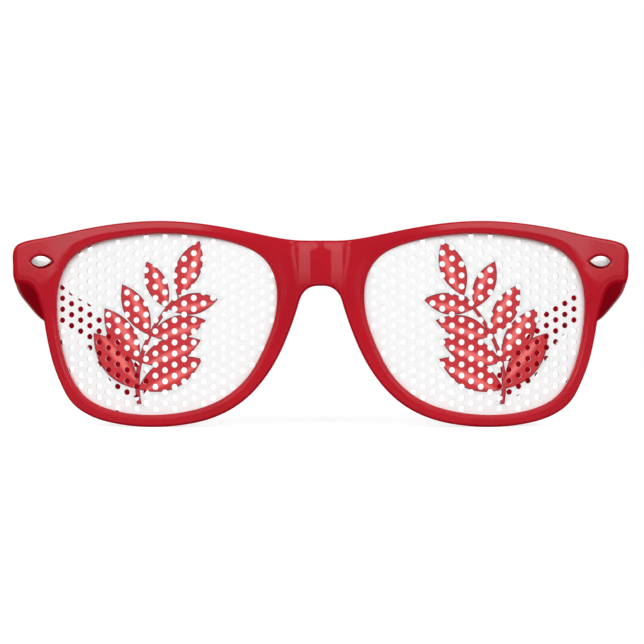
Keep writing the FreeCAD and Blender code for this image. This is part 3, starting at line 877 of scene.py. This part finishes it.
def lens_tree():
    """Pierces a flat outline with staggered columns of holes, thickens it and bends it onto the front."""
    tree = SheetNodes("perforated lens sheet", LENS_INPUTS)
    node, value = tree.node, tree.value
    outline, columns, rows = value("Outline"), value("Columns"), value("Rows")
    spots = node("MeshGrid", {}, value("Column Step") * (columns - 1.0), value("Row Step") * (rows - 1.0),
                 columns, rows)
    column = (node("InputIndex", {}) / rows).maths("FLOOR")
    stagger = column.maths("MODULO", 2.0) * (value("Row Step") * STAGGER_SHARE)
    shift = tree.vector("ADD", node("CombineXYZ", {}, 0.0, stagger, 0.0), value("Centre"))
    spots = node("SetPosition", {}, Geometry=spots, Offset=shift)

    place = node("InputPosition", {})
    inside = node("Raycast", {}, Target_Geometry=node("FillCurve", {}, Curve=outline), Ray_Direction=DOWN,
                  Source_Position=tree.vector("ADD", place, UP), output="Is Hit")
    rim = node("CurveToMesh", {}, Curve=outline)
    from_rim = node("Proximity", {"target_element": "EDGES"}, rim, output="Distance")
    cramped = from_rim.maths("LESS_THAN", value("Hole Radius") + value("Margin"))
    lost = cramped.largest(1.0 - inside)
    spots = node("DeleteGeometry", {"domain": "POINT"}, Geometry=spots, Selection=lost)

    ring = node("CurvePrimitiveCircle", {}, Resolution=value("Hole Sides"), Radius=value("Hole Radius"))
    rings = node("RealizeInstances", {}, Geometry=node("InstanceOnPoints", {}, Points=spots, Instance=ring))
    flat = node("FillCurve", {}, Curve=node("JoinGeometry", {}, Geometry=[outline, rings]))
    thick = node("ExtrudeMesh", {}, Mesh=flat, Offset=UP, Offset_Scale=value("Sheet"), Individual=False)
    shell = node("JoinGeometry", {}, Geometry=[thick, node("FlipFaces", {}, Mesh=flat)])
    shell = node("MergeByDistance", {}, Geometry=shell, Distance=SHEET_JOIN_DISTANCE)

    x, up, depth = (node("SeparateXYZ", {}, place, output=axis) for axis in "XYZ")
    beyond = (abs(x) - value("Flat Half")).largest(0.0)
    radius = value("Curve Radius") - (value("Setback") + depth)
    reach = (radius * radius - beyond * beyond).maths("SQRT")
    bent = node("CombineXYZ", {}, x, value("Arc Depth") - reach, up)
    sheet = node("FlipFaces", {}, Mesh=node("SetPosition", {}, Geometry=shell, Position=bent))
    sheet = node("RealizeInstances", {}, Geometry=sheet)
    sheet = node("SetMaterial", {}, Geometry=sheet, Material=value("Edge"))
    facing = node("SeparateXYZ", {}, node("InputNormal", {}), output="Y")
    ahead, behind = facing.maths("LESS_THAN", -FACING_LIMIT), facing.maths("GREATER_THAN", FACING_LIMIT)
    sheet = node("SetMaterial", {}, Geometry=sheet, Selection=ahead, Material=value("Front"))
    return tree.close(node("SetMaterial", {}, Geometry=sheet, Selection=behind, Material=value("Back")))


def lens_sheet(side, tree, films, front, lens):
    """Runs the lens tree on one opening's outline and keeps the result as a plain mesh."""
    name = side + "_print_lens"
    held = opening_outline(front, lens.groove - LENS_EDGE_CLEARANCE)
    carrier = outline_curve(name + "_outline", held, SIDES[side])
    centre = lens_centre(front)
    across, up = PATTERN_SHIFTS[side]
    # Whole pairs of columns on each side keep the middle column among those that are not moved.
    column_pairs = math.ceil((front.lens_width / 2 + lens.groove + abs(across)) / lens.column_step / 2)
    half_rows = math.ceil((front.lens_height / 2 + lens.groove + abs(up)) / lens.row_step)
    values = {
        "Centre": (centre.x * SIDES[side] + across, centre.z + up, 0),
        "Columns": 4 * column_pairs + 1,
        "Rows": 2 * half_rows + 1,
        "Column Step": lens.column_step,
        "Row Step": lens.row_step,
        "Hole Radius": lens.hole_diameter / 2,
        "Hole Sides": lens.hole_sides,
        "Margin": lens.margin,
        "Sheet": lens.sheet,
        "Setback": lens.setback,
        "Curve Radius": front.curve_radius,
        "Flat Half": flat_half(front),
        "Arc Depth": front_low.y + front.curve_radius,
        **films,
    }
    modifier = carrier.modifiers.new("perforation", "NODES")
    modifier.node_group = tree.tree
    for label, value in values.items():
        modifier[tree.identifiers[label]] = value
    evaluated = carrier.evaluated_get(bpy.context.evaluated_depsgraph_get())
    mesh = bpy.data.meshes.new_from_object(evaluated)
    carrier.modifiers.remove(modifier)
    bpy.data.objects.remove(carrier)
    mesh.name = name
    return link_object(name, mesh)


# Finishes: a noise is given by its scale and detail, a bump by its strength and height.

CLOUD_SPAN = (0.3, 0.7)

RED_CLOUD, RED_GRAIN = (70, 3), (2600, 2)
RED_GAINS = (0.93, 1.06)
CLOUD_ROUGHNESS, GRAIN_ROUGHNESS = 0.08, 0.04
CLOUD_RELIEF = 2.0
RED_BUMP = (0.12, 0.03 * MM)
RED_IOR = 1.36
# Roughness and specular level of each red plastic.
RED_PLASTICS = {
    "glossy red plastic": (0.13, 0.5),
    "matt red edge": (0.7, 0.0),
    "satin red plastic": (0.5, 0.25),
    "temple red plastic": (0.24, 0.5),
    "matt red plastic": (0.7, 0.0),
}

FILM_PAPER = (420, 4)
FILM_GAINS, EDGE_GAINS = (0.985, 1.01), (0.97, 1.0)
FILM_ROUGHNESS, PAPER_ROUGHNESS = 0.42, 0.1
FILM_BUMP = (0.1, 0.02 * MM)
BACKING_GRAIN = (900, 3)
BACKING_GAINS = (0.7, 1.4)
BACKING_ROUGHNESS, BACKING_GRAIN_ROUGHNESS = 0.4, 0.2

METAL_MARKS = (900, 3)
METAL_GAINS = (0.9, 1.05)
MARK_ROUGHNESS = 0.12
METAL_BUMP = (0.15, 0.01 * MM)
# Roughness of each metal, and how closely its marks lie along each axis.
METALS = {
    "polished stud": (0.34, (1, 1, 1)),
    "stamped hinge": (0.3, (1, 6, 1)),
    "turned screw": (0.2, (4, 4, 1)),
}

# The print, in millimetres and degrees: a bowed stem with pairs of leaves and one leaf at its top.
LEAF_PAIRS = 4
LEAF_LENGTH, LEAF_WIDTH = 16.0, 6.6
LEAF_SIZE_SHARE, LEAF_SIZE_STEP_SHARE = 1.05, 0.1
LEAF_TURN, LEAF_TURN_STEP = 105, 5
LEAF_SPREAD = (-54, 50)
FIRST_PAIR_SHARE = 0.55
TOP_LEAF_TURN = 112
TOP_LEAF_LENGTH, TOP_LEAF_WIDTH = 13.76, 5.94
STEM_FOOT = (6.0, -18.5)
STEM_TOP = (-3.0, 6.5)
STEM_BOW = 3.5
STEM_HALF_WIDTH = 0.55
# The light patch on a leaf's upper side, as shares of its width.
GLEAM_WIDTH_SHARE, GLEAM_SHIFT_SHARE, GLEAM_INSET_SHARE = 1 / 5, 1 / 7, 1 / 14
# Where the print's parts start and end, by depth inside a leaf or a light patch.
HALO_SPAN, HALO_STRENGTH, HALO_GREY = (-1.7, 0.1), 0.4, (0.55, 0.56, 0.57)
DARK_EDGE_SPAN = (0.12, 0.42)
GLEAM_SPAN, GLEAM_STRENGTH = (-0.5, 0.6), 0.85
INK_SPAN = (-0.05, 0.05)


def rgba(colour, gain=1.0):
    return (*(min(1.0, channel * gain) for channel in colour), 1.0)


class Finish(NodeMaker):
    """One material or world, built from expressions."""

    def __init__(self, name, kind="Material"):
        self.owner = (bpy.data.materials if kind == "Material" else bpy.data.worlds).new(name)
        self.owner.use_nodes = True
        self.tree = self.owner.node_tree
        self.tree.nodes.clear()
        self.output = self.tree.nodes.new("ShaderNodeOutput" + kind)

    def place(self):
        """Object coordinates."""
        return self.node("TexCoord", {}, output="Object")

    def noise(self, scale, detail, place=None):
        return self.node("TexNoise", {}, Vector=place or self.place(), Scale=scale, Detail=detail)

    def mix(self, share, first, second):
        """A colour between two colours; the node's number and vector sockets are skipped."""
        return self.node("Mix", {"data_type": "RGBA"}, share, *5 * [None], first, second, output=2)

    def shades(self, share, colour, gains):
        """Between a colour's darker and lighter shades."""
        return self.mix(share, *(rgba(colour, gain) for gain in gains))

    def bump(self, height, strength, distance):
        return self.node("Bump", {}, Height=height, Strength=strength, Distance=distance)

    def close(self, shader):
        self.tree.links.new(shader.socket, self.output.inputs["Surface"])
        return self.owner

    def surface(self, **named):
        """Ends the material in one Principled shader."""
        return self.close(self.node("BsdfPrincipled", {}, **named))


def red_plastic(name, colours):
    """Moulded plastic: slight unevenness of colour and gloss, and a fine skin."""
    roughness, gloss = RED_PLASTICS[name]
    finish = Finish(name)
    cloud = finish.noise(*RED_CLOUD)
    grain = finish.noise(*RED_GRAIN)
    return finish.surface(
        Base_Color=finish.shades(cloud.between(*CLOUD_SPAN), colours.frame_red, RED_GAINS),
        Roughness=roughness + CLOUD_ROUGHNESS * cloud + GRAIN_ROUGHNESS * grain,
        IOR=RED_IOR,
        Specular_IOR_Level=gloss,
        Normal=finish.bump(grain + CLOUD_RELIEF * cloud, *RED_BUMP),
    )


def bow(share):
    """Rises from 0 at one end to 1 in the middle and falls back to 0 at the other end."""
    return share * (1 - share) * 4.0


def leaf_field(finish, place, base, turn, length, width):
    """How deep a point lies inside a pointed leaf, and inside the light patch on its upper side."""
    cosine, sine = math.cos(math.radians(turn)), math.sin(math.radians(turn))
    start = base[0] * cosine + base[1] * sine
    level = base[1] * cosine - base[0] * sine
    along = finish.vector("DOT_PRODUCT", place, (cosine, 0, sine), output="Value") - start
    across = finish.vector("DOT_PRODUCT", place, (-sine, 0, cosine), output="Value") - level
    swell = bow(along / length)
    body = swell * (width / 2) - abs(across)
    shifted = abs(across - width * GLEAM_SHIFT_SHARE)
    gleam = swell * (width * GLEAM_WIDTH_SHARE) - shifted - width * GLEAM_INSET_SHARE
    return body, gleam


def stem_place(share):
    """Where the sprig's stem runs, from its foot to its top."""
    return STEM_FOOT[0] + (STEM_TOP[0] - STEM_FOOT[0]) * share + STEM_BOW * bow(share)


def sprig(finish, across, up):
    """Depth inside a leafy sprig and inside its light patches, in millimetres from the lens's centre."""
    place = finish.node("CombineXYZ", {}, across, 0.0, up)
    rise = STEM_TOP[1] - STEM_FOOT[1]
    share = (up - STEM_FOOT[1]) / rise
    stem = STEM_HALF_WIDTH - abs(across - stem_place(share))
    body = stem.smallest(share * rise).smallest((1 - share) * rise)
    leaves = [(STEM_TOP, TOP_LEAF_TURN, TOP_LEAF_LENGTH, TOP_LEAF_WIDTH)]
    for pair in range(LEAF_PAIRS):
        share = (pair + FIRST_PAIR_SHARE) / LEAF_PAIRS
        foot = (stem_place(share), STEM_FOOT[1] + rise * share)
        size = LEAF_SIZE_SHARE - LEAF_SIZE_STEP_SHARE * pair
        for spread in LEAF_SPREAD:
            turn = LEAF_TURN + spread + LEAF_TURN_STEP * pair
            leaves.append((foot, turn, LEAF_LENGTH * size, LEAF_WIDTH * size))
    bodies, gleams = zip(*(leaf_field(finish, place, *leaf) for leaf in leaves))
    return reduce(Wire.largest, bodies, body), reduce(Wire.largest, gleams)


def printed_film(colours, front):
    """White perforated film with a red leafy sprig printed on it, mirrored on the two lenses."""
    finish = Finish("printed lens film")
    x, z = (finish.node("SeparateXYZ", {}, finish.place(), output=axis) for axis in "XZ")
    centre = lens_centre(front)
    body, gleam = sprig(finish, (abs(x) - centre.x) / MM, (z - centre.z) / MM)
    paper = finish.noise(*FILM_PAPER)
    film = finish.shades(paper.between(*CLOUD_SPAN), colours.film_white, FILM_GAINS)
    film = finish.mix(body.between(*HALO_SPAN) * HALO_STRENGTH, film, rgba(HALO_GREY))
    ink = finish.mix(body.between(*DARK_EDGE_SPAN), rgba(colours.print_dark), rgba(colours.print_red))
    ink = finish.mix(gleam.between(*GLEAM_SPAN) * GLEAM_STRENGTH, ink, rgba(colours.print_pink))
    return finish.surface(
        Base_Color=finish.mix(body.between(*INK_SPAN), film, ink),
        Roughness=FILM_ROUGHNESS + PAPER_ROUGHNESS * paper,
        Normal=finish.bump(paper, *FILM_BUMP),
    )


def dark_film(colours):
    """Dark inner face of the lens sheet."""
    finish = Finish("dark lens backing")
    grain = finish.noise(*BACKING_GRAIN)
    return finish.surface(
        Base_Color=finish.shades(grain, colours.film_back, BACKING_GAINS),
        Roughness=BACKING_ROUGHNESS + BACKING_GRAIN_ROUGHNESS * grain,
        Normal=finish.bump(grain, *FILM_BUMP),
    )


def plain_film(colours):
    """White edge of the lens sheet, seen in its holes."""
    finish = Finish("plain lens film")
    paper = finish.noise(*FILM_PAPER)
    return finish.surface(
        Base_Color=finish.shades(paper, colours.film_white, EDGE_GAINS),
        Roughness=FILM_ROUGHNESS + PAPER_ROUGHNESS * paper,
    )


def bright_metal(name, colour):
    """Plated metal with fine drawn marks."""
    roughness, stretch = METALS[name]
    finish = Finish(name)
    marks = finish.noise(*METAL_MARKS, finish.node("Mapping", {}, Vector=finish.place(), Scale=stretch))
    return finish.surface(
        Base_Color=finish.shades(marks, colour, METAL_GAINS),
        Metallic=1.0,
        Roughness=roughness + MARK_ROUGHNESS * marks,
        Normal=finish.bump(marks, *METAL_BUMP),
    )


def finish_nodes(names, material):
    """Gives CAD nodes that keep their shape a finish."""
    for name in names:
        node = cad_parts[name]
        node.data.materials.clear()
        node.data.materials.append(material)


# Stage, in metres

TABLE_HALF = 0.36
TABLE_CORNERS = ((-1, -1), (1, -1), (1, 1), (-1, 1))
TABLE_PAPER = (3, 2)
TABLE_GREYS = (0.6, 0.62)
TABLE_GLOW = 0.7
# Place, size and power of the softboxes that stand on both sides and of those in the middle.
SIDE_SOFTBOXES = {"softbox": ((0.58, -0.74, 0.5), (1.1, 0.62), 6.15),
                  "flank softbox": ((0.95, 0.4, 0.6), (0.7, 0.7), 1.0)}
MIDDLE_SOFTBOXES = {"top softbox": ((0, 0.15, 0.9), (0.8, 0.8), 0.7),
                    "back softbox": ((0, 0.8, 0.7), (0.9, 0.5), 0.6)}
# The air's light comes from ahead and above and fades out behind.
AIR_LIGHT, AIR_LIGHT_BEHIND = 0.25, 0.06
AIR_DIRECTION = (0, -math.sqrt(0.5), math.sqrt(0.5))
AIR_SPAN = (-0.5, 0.5)
WHITE = (1, 1, 1, 1)
CAMERA_DISTANCE = 364 * MM
CAMERA_HEIGHT = 24.3 * MM
CAMERA_OFFSET = 0.3 * MM
CAMERA_LENS = 88.9
CAMERA_CLIP = 10 * MM


def white_stage():
    """A plain diffuse table that keeps the shadow, with a glow that camera and transmission rays see."""
    finish = Finish("white stage")
    grey = finish.mix(finish.noise(*TABLE_PAPER), *(rgba(3 * [grey]) for grey in TABLE_GREYS))
    plain = finish.node("BsdfDiffuse", {}, Color=grey)
    glow = finish.node("Emission", {}, Color=WHITE, Strength=TABLE_GLOW)
    lit = finish.node("AddShader", {}, plain, glow)
    seen = finish.node("LightPath", {}, output="Is Camera Ray")
    seen = seen.largest(finish.node("LightPath", {}, output="Is Transmission Ray"))
    return finish.close(finish.node("MixShader", {}, seen, plain, lit))


def studio_air():
    """Soft light from ahead and above, and plain white where the camera looks past the table."""
    finish = Finish("studio air", "World")
    direction = finish.node("TexCoord", {}, output="Generated")
    ahead = finish.vector("DOT_PRODUCT", direction, AIR_DIRECTION, output="Value")
    air = finish.node("Background", {}, WHITE, ahead.between(*AIR_SPAN, AIR_LIGHT_BEHIND, AIR_LIGHT))
    white = finish.node("Background", {}, WHITE)
    seen = finish.node("LightPath", {}, output="Is Camera Ray")
    return finish.close(finish.node("MixShader", {}, seen, air, white))


def softbox(name, place, size, power):
    """An area lamp that is aimed at the front."""
    lamp = bpy.data.lights.new(name, "AREA")
    lamp.shape = "RECTANGLE"
    lamp.size, lamp.size_y = size
    lamp.energy = power
    piece = link_object(name, lamp)
    piece.location = place
    aim = Vector((0, front_low.y, lens_centre(bpy.context.scene.sunglasses_front).z)) - Vector(place)
    piece.rotation_euler = aim.to_track_quat("-Z", "Y").to_euler()


def table():
    """A white table top under the object; the world beyond it is white for the camera."""
    points = [(x * TABLE_HALF, y * TABLE_HALF, 0) for x, y in TABLE_CORNERS]
    piece = mesh_object("white_table", points, [[0, 1, 2, 3]])
    piece.data.materials.append(white_stage())


def photo_camera():
    """Looks straight at the front, as in the photo."""
    lens = bpy.data.cameras.new("photo camera")
    lens.lens = CAMERA_LENS
    lens.clip_start = CAMERA_CLIP
    camera = link_object("photo camera", lens)
    camera.location = (CAMERA_OFFSET, front_low.y - CAMERA_DISTANCE, CAMERA_HEIGHT)
    camera.rotation_euler = (math.pi / 2, 0, 0)
    return camera


class SUNGLASSES_OT_front(bpy.types.Operator):
    """Builds the red front moulding"""
    bl_idname = "sunglasses.front"
    bl_label = "Front Moulding"

    def execute(self, context):
        scene = context.scene
        piece = front_moulding(scene.sunglasses_front, scene.sunglasses_lens)
        finishes = [red_plastic(name, scene.sunglasses_finish)
                    for name in ("glossy red plastic", "matt red edge", "satin red plastic")]
        dress(piece, "front", finishes, "front_frame")
        return {"FINISHED"}


class SUNGLASSES_OT_temples(bpy.types.Operator):
    """Builds both temples"""
    bl_idname = "sunglasses.temples"
    bl_label = "Temples"

    def execute(self, context):
        scene = context.scene
        finishes = [red_plastic(name, scene.sunglasses_finish)
                    for name in ("temple red plastic", "matt red plastic")]
        for side, sign in SIDES.items():
            piece = temple_mesh(side + "_temple_arm", sign, scene.sunglasses_temple)
            dress(piece, side + "_arm", finishes, side + "_temple")
        return {"FINISHED"}


class SUNGLASSES_OT_lenses(bpy.types.Operator):
    """Builds both perforated print lenses"""
    bl_idname = "sunglasses.lenses"
    bl_label = "Lenses"

    def execute(self, context):
        scene = context.scene
        front, colours = scene.sunglasses_front, scene.sunglasses_finish
        films = {"Front": printed_film(colours, front), "Back": dark_film(colours),
                 "Edge": plain_film(colours)}
        tree = lens_tree()
        for side in SIDES:
            piece = lens_sheet(side, tree, films, front, scene.sunglasses_lens)
            dress(piece, "front", [], side + "_lens")
        return {"FINISHED"}


class SUNGLASSES_OT_metal(bpy.types.Operator):
    """Finishes the studs, hinges and screws"""
    bl_idname = "sunglasses.metal"
    bl_label = "Studs and Hinges"

    def execute(self, context):
        colours = context.scene.sunglasses_finish
        studs = bright_metal("polished stud", colours.stud_silver)
        plates = bright_metal("stamped hinge", colours.hinge_steel)
        screws = bright_metal("turned screw", colours.hinge_steel)
        for side in SIDES:
            finish_nodes([side + "_front_rivet"], studs)
            finish_nodes([side + "_front_hinge_leaf", side + "_temple_hinge_leaf"], plates)
            finish_nodes([side + "_hinge_screw", side + "_front_leaf_screws", side + "_temple_leaf_screws"],
                         screws)
        return {"FINISHED"}


class SUNGLASSES_OT_stage(bpy.types.Operator):
    """Sets up the white table, the softboxes, the world and the camera"""
    bl_idname = "sunglasses.stage"
    bl_label = "Stage"

    def execute(self, context):
        scene = context.scene
        table()
        for side, sign in SIDES.items():
            for name, ((x, y, z), size, power) in SIDE_SOFTBOXES.items():
                softbox(side + " " + name, (sign * x, y, z), size, power)
        for name, (place, size, power) in MIDDLE_SOFTBOXES.items():
            softbox(name, place, size, power)
        scene.world = studio_air()
        scene.camera = photo_camera()
        scene.view_settings.view_transform = "Standard"
        return {"FINISHED"}


class SUNGLASSES_PT_sidebar(bpy.types.Panel):
    """Lists the pieces in the order that they are built"""
    bl_idname = "SUNGLASSES_PT_sidebar"
    bl_label = "Sunglasses"
    bl_space_type = "VIEW_3D"
    bl_region_type = "UI"
    bl_category = "Sunglasses"

    def draw(self, context):
        for operator in OPERATORS:
            self.layout.operator(operator.bl_idname)


OPERATORS = (SUNGLASSES_OT_front, SUNGLASSES_OT_temples, SUNGLASSES_OT_lenses, SUNGLASSES_OT_metal,
             SUNGLASSES_OT_stage)
GROUPS = {"sunglasses_front": FrontSizes, "sunglasses_lens": LensSizes, "sunglasses_temple": TempleSizes,
          "sunglasses_finish": FinishColours}


def register():
    for group in (*GROUPS.values(), *OPERATORS, SUNGLASSES_PT_sidebar):
        bpy.utils.register_class(group)
    for name, group in GROUPS.items():
        setattr(bpy.types.Scene, name, PointerProperty(type=group))


def unregister():
    for name in GROUPS:
        delattr(bpy.types.Scene, name)
    for group in (SUNGLASSES_PT_sidebar, *reversed(OPERATORS), *reversed(GROUPS.values())):
        bpy.utils.unregister_class(group)


def main():
    register()
    bpy.ops.sunglasses.front()
    bpy.ops.sunglasses.temples()
    bpy.ops.sunglasses.lenses()
    bpy.ops.sunglasses.metal()
    bpy.ops.sunglasses.stage()


if __name__ == "__main__":
    main()
